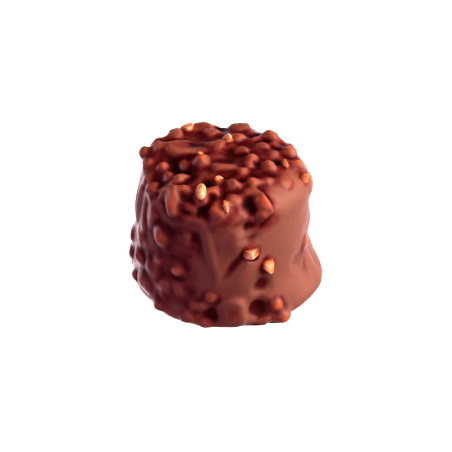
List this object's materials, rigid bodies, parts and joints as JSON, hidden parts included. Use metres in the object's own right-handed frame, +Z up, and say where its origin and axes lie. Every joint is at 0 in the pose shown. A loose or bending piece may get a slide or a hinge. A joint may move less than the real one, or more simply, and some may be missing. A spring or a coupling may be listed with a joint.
{
  "type": "hazelnut chocolate ball",
  "caption": "Squat drum-shaped praline with a domed top, coated in milk chocolate with chopped hazelnuts in and on the coat.",
  "frame": {"origin": "centre of the overall box, on the plane of the flat base", "axes": "+Z up through the domed top; -Y faces the viewer, with the smooth side of the coat to the viewer's right at +X"},
  "size_m": [0.0422, 0.0428, 0.031],
  "materials": {
    "milk_chocolate": "satin milk chocolate over chopped hazelnuts, a few of them bare"
  },
  "bodies": {
    "root": {"chocolate_ball": "milk_chocolate"}
  },
  "joints": []
}
